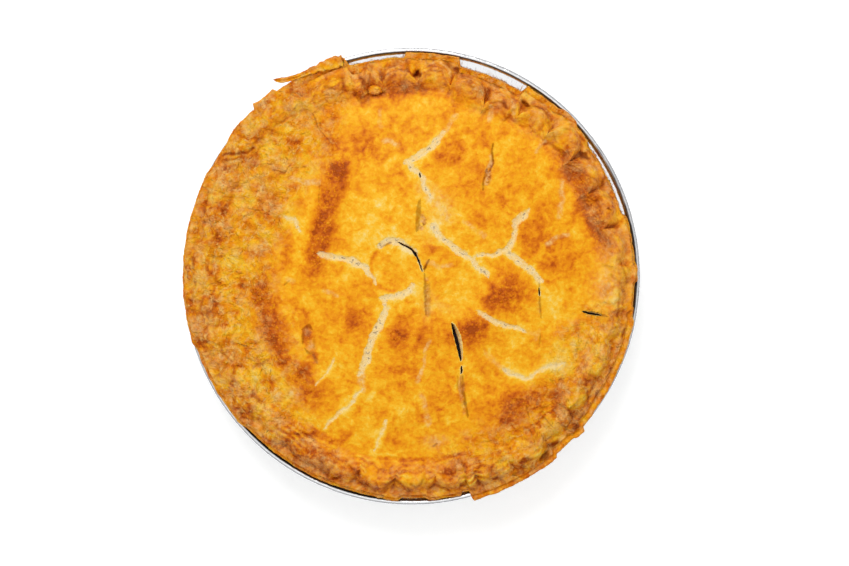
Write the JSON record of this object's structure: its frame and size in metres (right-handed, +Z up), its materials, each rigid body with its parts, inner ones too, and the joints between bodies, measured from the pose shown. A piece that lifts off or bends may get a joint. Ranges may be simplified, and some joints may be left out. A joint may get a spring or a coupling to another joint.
{
  "type": "blueberry pie in a foil tin",
  "caption": "Round covered fruit pie with a fluted rim, steam slits and baked cracks, in its own pressed foil tin.",
  "frame": {"origin": "middle of the tin's underside, where the pie rests", "axes": "+Z up out of the crust, +X to the right and +Y to the back as the pie is seen from above"},
  "size_m": [0.229, 0.229, 0.0449],
  "materials": {
    "foil": "bright pressed foil",
    "crust": "baked pastry, golden with browner swells, satin from egg wash",
    "filling": "dark set fruit, glossy"
  },
  "bodies": {
    "root": {"foil_tin": "foil", "base_crust": "crust", "blueberry_filling": "filling", "lid_crust": "crust"}
  },
  "joints": []
}
